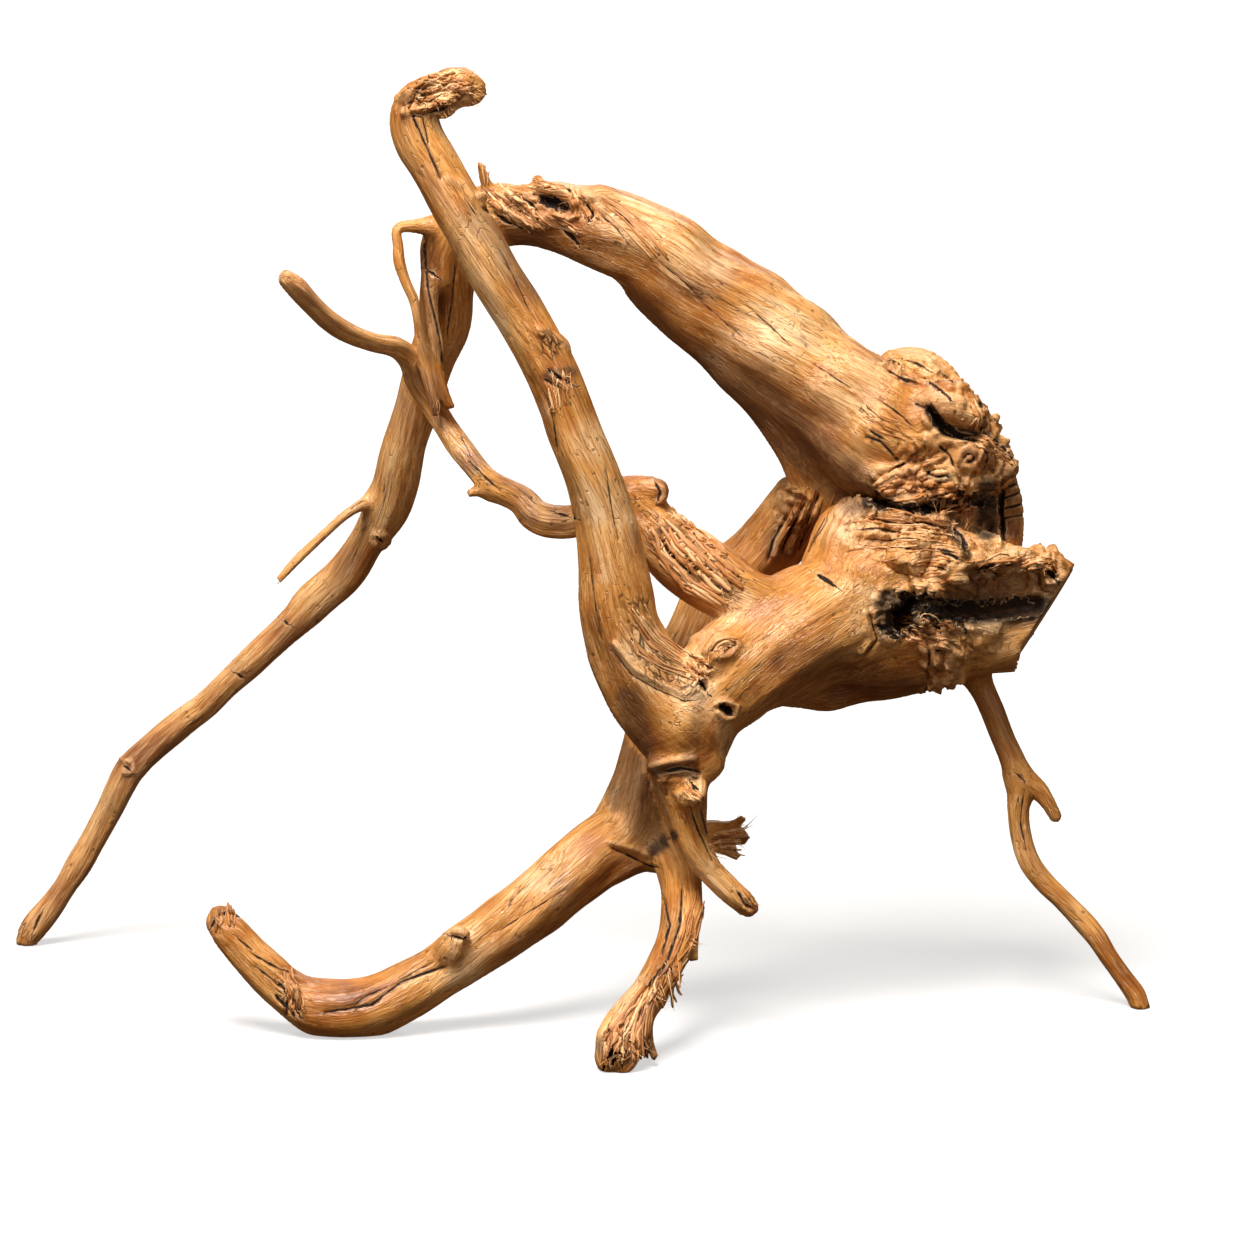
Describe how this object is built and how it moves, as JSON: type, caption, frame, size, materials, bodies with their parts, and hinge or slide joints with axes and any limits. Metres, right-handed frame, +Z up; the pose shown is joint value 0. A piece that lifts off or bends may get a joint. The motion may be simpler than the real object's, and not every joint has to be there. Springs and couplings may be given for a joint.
{
  "type": "aquarium driftwood root",
  "caption": "Branching piece of bleached driftwood root for an aquarium: a hollowed crown, a tall front limb, an arching limb and low feet it stands on.",
  "frame": {"origin": "on the floor, under the middle of the box round the root as it stands on its four feet", "axes": "+Z up, +X towards the sawn crown and the thin right leg, -Y towards the viewer and the front foot"},
  "size_m": [0.3843, 0.1784, 0.3196],
  "materials": {
    "weathered_wood": "bleached, water-worn root wood, bare of bark, satin-matt, warm orange-brown with long fibres"
  },
  "bodies": {
    "root": {"driftwood_root": "weathered_wood"}
  },
  "joints": []
}
